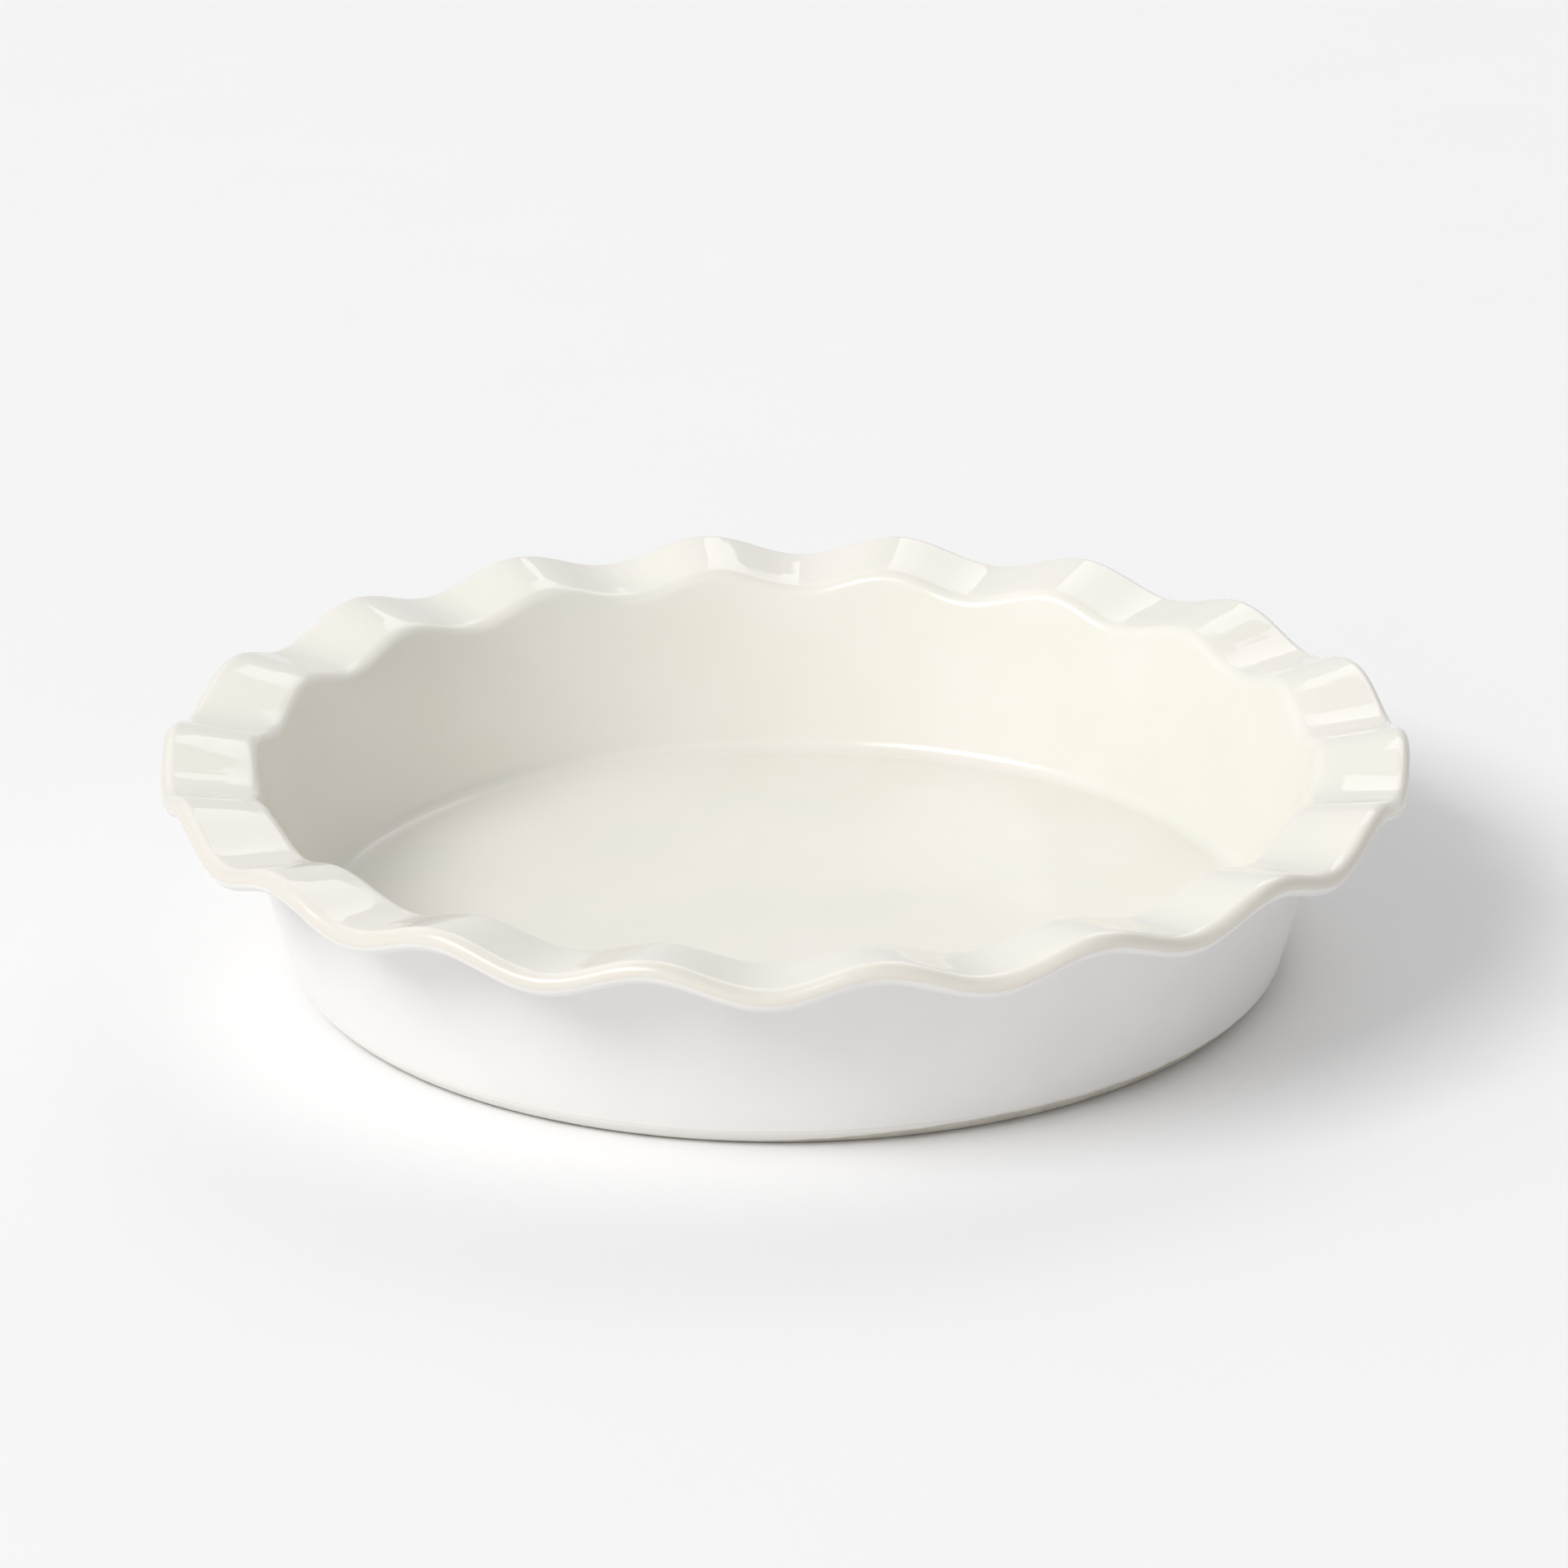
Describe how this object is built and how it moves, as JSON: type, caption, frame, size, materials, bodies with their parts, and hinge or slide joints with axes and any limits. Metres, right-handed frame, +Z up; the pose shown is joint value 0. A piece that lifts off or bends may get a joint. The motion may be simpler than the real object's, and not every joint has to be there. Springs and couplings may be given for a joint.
{
  "type": "pie dish",
  "caption": "Round pie dish with a sloped wall, a flat floor, a ruffled flange with a rounded lip and a bare bevelled foot ring, for baking and serving.",
  "frame": {"origin": "on the table, under the middle of the foot", "axes": "+Z up along the dish's axis; +X through a crest of the ruffle, so that a valley lies half a ruffle on"},
  "size_m": [0.28, 0.28, 0.0532],
  "materials": {
    "stoneware": "matt fired clay",
    "cream_glaze": "glossy warm cream glaze",
    "white_glaze": "satin neutral white glaze"
  },
  "bodies": {
    "root": {"stoneware_body": "stoneware", "cream_liner_glaze": "cream_glaze", "white_wall_glaze": "white_glaze", "white_base_glaze": "white_glaze"}
  },
  "joints": []
}
